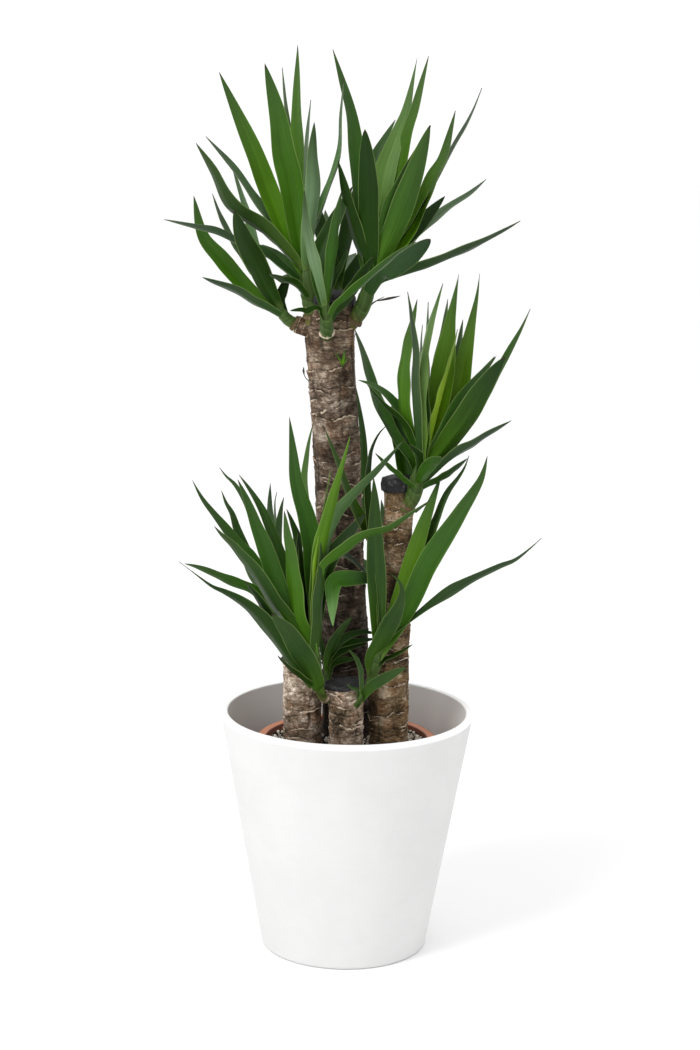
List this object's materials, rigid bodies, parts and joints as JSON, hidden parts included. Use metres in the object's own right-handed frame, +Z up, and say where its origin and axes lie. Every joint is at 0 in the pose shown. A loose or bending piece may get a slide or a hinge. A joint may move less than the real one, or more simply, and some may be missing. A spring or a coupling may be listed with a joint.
{
  "type": "potted yucca",
  "caption": "Yucca with bare rooted canes and tufts of long pointed leaves, in a plastic nursery pot that stands inside a round, tapered, off-white planter.",
  "frame": {"origin": "centre of the planter's underside, on the surface it stands on", "axes": "+Z up, -Y towards the viewer of the picture, +X to the viewer's right"},
  "size_m": [0.5058, 0.4435, 1.24],
  "materials": {
    "planter_stone_white": "matte off-white, faintly mottled",
    "terracotta_plastic": "matte, moulded",
    "potting_soil": "loose and crumbly, near black with white perlite",
    "cane_tall_bark": "rough bark with ring scars",
    "cane_middle_bark": "rough bark with ring scars",
    "cane_left_bark": "rough bark with ring scars",
    "cane_front_bark": "rough bark with ring scars",
    "wax_tall": "poured wax, half gloss",
    "wax_middle": "poured wax, half gloss",
    "wax_left": "poured wax, half gloss",
    "wax_front": "poured wax, half gloss",
    "shoot_far_left_green": "smooth, half gloss leaf",
    "shoot_left_green": "smooth, half gloss leaf",
    "shoot_front_green": "smooth, half gloss leaf",
    "shoot_right_green": "smooth, half gloss leaf",
    "shoot_back_green": "smooth, half gloss leaf",
    "shoot_middle_green": "smooth, half gloss leaf",
    "shoot_rear_green": "smooth, half gloss leaf",
    "shoot_low_left_green": "smooth, half gloss leaf",
    "shoot_low_centre_green": "smooth, half gloss leaf",
    "shoot_low_right_green": "smooth, half gloss leaf",
    "shoot_small_right_green": "smooth, half gloss leaf",
    "shoot_small_left_green": "smooth, half gloss leaf"
  },
  "bodies": {
    "root": {"planter": "planter_stone_white", "nursery_pot": "terracotta_plastic", "soil": "potting_soil", "cane_tall": "cane_tall_bark", "cane_middle": "cane_middle_bark", "cane_left": "cane_left_bark", "cane_front": "cane_front_bark", "wax_cap_tall": "wax_tall", "wax_cap_middle": "wax_middle", "wax_cap_left": "wax_left", "wax_cap_front": "wax_front", "shoot_far_left": "shoot_far_left_green", "shoot_left": "shoot_left_green", "shoot_front": "shoot_front_green", "shoot_right": "shoot_right_green", "shoot_back": "shoot_back_green", "shoot_middle": "shoot_middle_green", "shoot_rear": "shoot_rear_green", "shoot_low_left": "shoot_low_left_green", "shoot_low_centre": "shoot_low_centre_green", "shoot_low_right": "shoot_low_right_green", "shoot_small_right": "shoot_small_right_green", "shoot_small_left": "shoot_small_left_green"}
  },
  "joints": []
}
